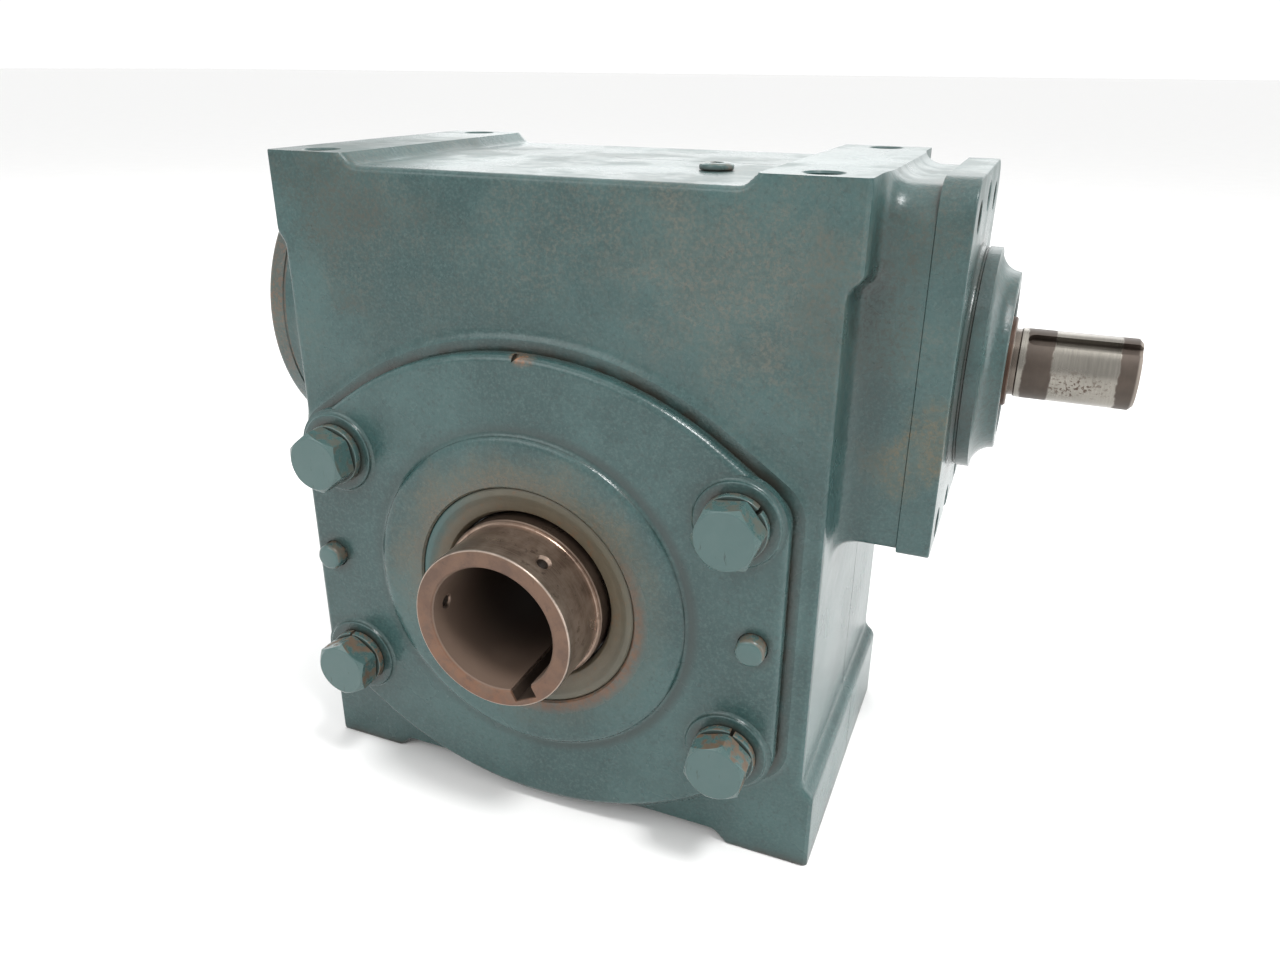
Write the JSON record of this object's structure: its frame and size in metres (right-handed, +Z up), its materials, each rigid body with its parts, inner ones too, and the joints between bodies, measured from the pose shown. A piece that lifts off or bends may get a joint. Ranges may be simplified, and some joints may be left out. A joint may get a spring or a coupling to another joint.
{
  "type": "worm gearbox",
  "caption": "Right-angle worm gearbox: a ribless cast-iron box housing with raised feet, a bolted front cover, a hollow keyed output shaft and a keyed input shaft on a bolted flange.",
  "frame": {"origin": "on the floor, under the middle of the whole gearbox's box", "axes": "+X along the input shaft towards its free end, +Y along the output shaft away from the bolted cover, +Z up"},
  "size_m": [0.307, 0.1934, 0.2476],
  "materials": {
    "paint": "glossy teal-green machine enamel over cast iron, dusty, with rust at the edges",
    "bolt_paint": "the same enamel over steel, with rust on the flats",
    "oxide_steel": "turned steel with a brown oxide skin",
    "shaft_steel": "ground steel, bright, with brown rust bands and small pits",
    "bearing_steel": "polished bearing steel",
    "bronze": "machined gear bronze",
    "raw_iron": "unpainted cast iron, oiled",
    "seal_rubber": "nitrile rubber over a pressed case",
    "gasket": "oiled gasket paper"
  },
  "bodies": {
    "casing": {"housing": "paint", "front_cover": "paint", "cover_gasket": "gasket", "cover_bolt_upper_left": "bolt_paint", "cover_bolt_upper_right": "bolt_paint", "cover_bolt_lower_left": "bolt_paint", "cover_bolt_lower_right": "bolt_paint", "lock_washer_upper_left": "bolt_paint", "lock_washer_upper_right": "bolt_paint", "lock_washer_lower_left": "bolt_paint", "lock_washer_lower_right": "bolt_paint", "dowel_pin_left": "bolt_paint", "dowel_pin_right": "bolt_paint", "output_bearing_cup_front": "bearing_steel", "output_bearing_cup_rear": "bearing_steel", "output_seal_front": "seal_rubber", "output_seal_rear": "seal_rubber", "worm_bearing_cup_left": "bearing_steel", "worm_bearing_cup_right": "bearing_steel", "input_flange": "paint", "input_seal": "seal_rubber", "flange_screw_1": "bearing_steel", "flange_screw_2": "bearing_steel", "flange_screw_3": "bearing_steel", "flange_screw_4": "bearing_steel", "end_cap": "paint", "end_cap_gasket": "gasket", "end_cap_screw_1": "bearing_steel", "end_cap_screw_2": "bearing_steel", "end_cap_screw_3": "bearing_steel", "end_cap_screw_4": "bearing_steel", "vent_plug": "bolt_paint", "drain_plug": "bolt_paint", "level_plug": "bolt_paint"},
    "output": {"output_shaft": "oxide_steel", "wheel_hub": "raw_iron", "worm_wheel": "bronze", "wheel_key": "bearing_steel", "output_bearing_cone_front": "bearing_steel", "output_bearing_rollers_front": "bearing_steel", "output_bearing_cone_rear": "bearing_steel", "output_bearing_rollers_rear": "bearing_steel"},
    "worm": {"worm_shaft": "shaft_steel", "worm_bearing_cone_left": "bearing_steel", "worm_bearing_rollers_left": "bearing_steel", "worm_bearing_cone_right": "bearing_steel", "worm_bearing_rollers_right": "bearing_steel"}
  },
  "joints": [
    {"name": "output_spin", "type": "hinge", "parent": "casing", "child": "output", "pos_m": [-0.0372, 0, 0.09525], "axis": [0, -1, 0], "continuous": true},
    {"name": "worm_spin", "type": "hinge", "parent": "casing", "child": "worm", "pos_m": [-0.0372, 0, 0.18415], "axis": [1, 0, 0], "continuous": true}
  ],
  "couplings": [
    {"joint": "worm_spin", "follows": "output_spin", "ratio": 30}
  ]
}
